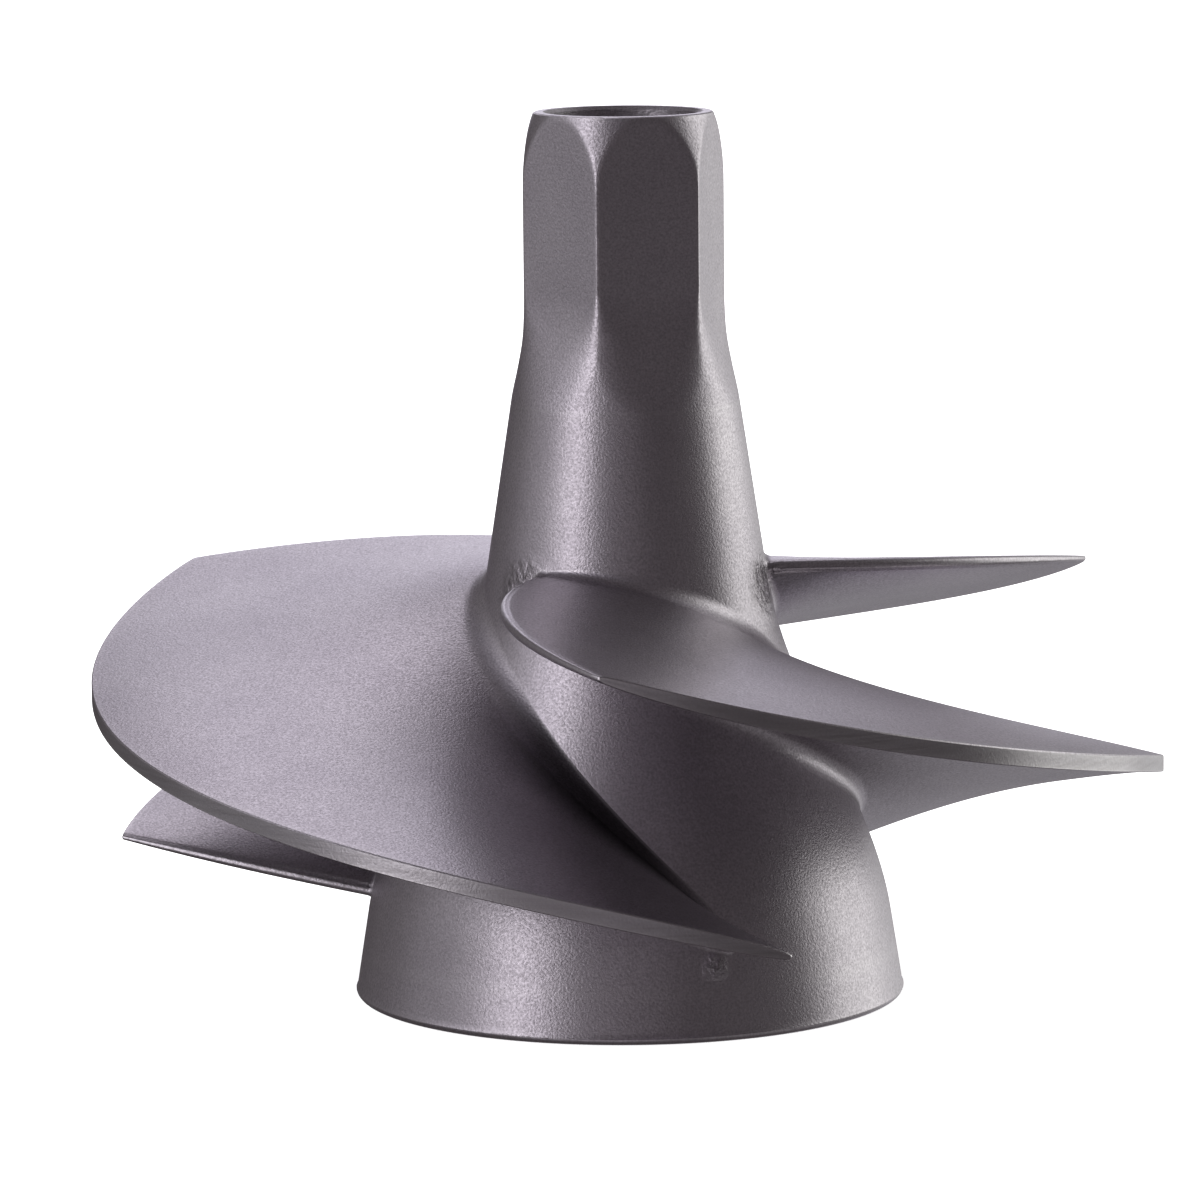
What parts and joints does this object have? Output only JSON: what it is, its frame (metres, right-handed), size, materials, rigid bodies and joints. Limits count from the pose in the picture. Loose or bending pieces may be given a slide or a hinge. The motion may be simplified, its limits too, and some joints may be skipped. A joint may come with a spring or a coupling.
{
  "type": "pump impeller",
  "caption": "Jet-pump impeller with three long overlapping blades on a conical hub, a hexagonal wrench nose, a splined bore and a threaded rear bush.",
  "frame": {"origin": "on the spin axis, in the plane of the rear skirt's rim, which the part stands on", "axes": "+Z along the spin axis from the rear skirt to the nose; a leading blade corner lies close to -Y"},
  "size_m": [0.155, 0.155, 0.128],
  "materials": {
    "cast_stainless": "satin, bead blasted",
    "machined_steel": "machined",
    "rubber": "matte"
  },
  "bodies": {
    "root": {"hex_nose": "cast_stainless", "hub_cone": "cast_stainless", "rear_skirt": "cast_stainless", "blade_1": "cast_stainless", "blade_2": "cast_stainless", "blade_3": "cast_stainless", "center_boss": "cast_stainless", "web_1": "cast_stainless", "web_2": "cast_stainless", "web_3": "cast_stainless", "thread_bush": "machined_steel", "spline_sleeve": "machined_steel", "rear_seal": "rubber", "nose_seal": "rubber", "damper_plug": "rubber"}
  },
  "joints": []
}
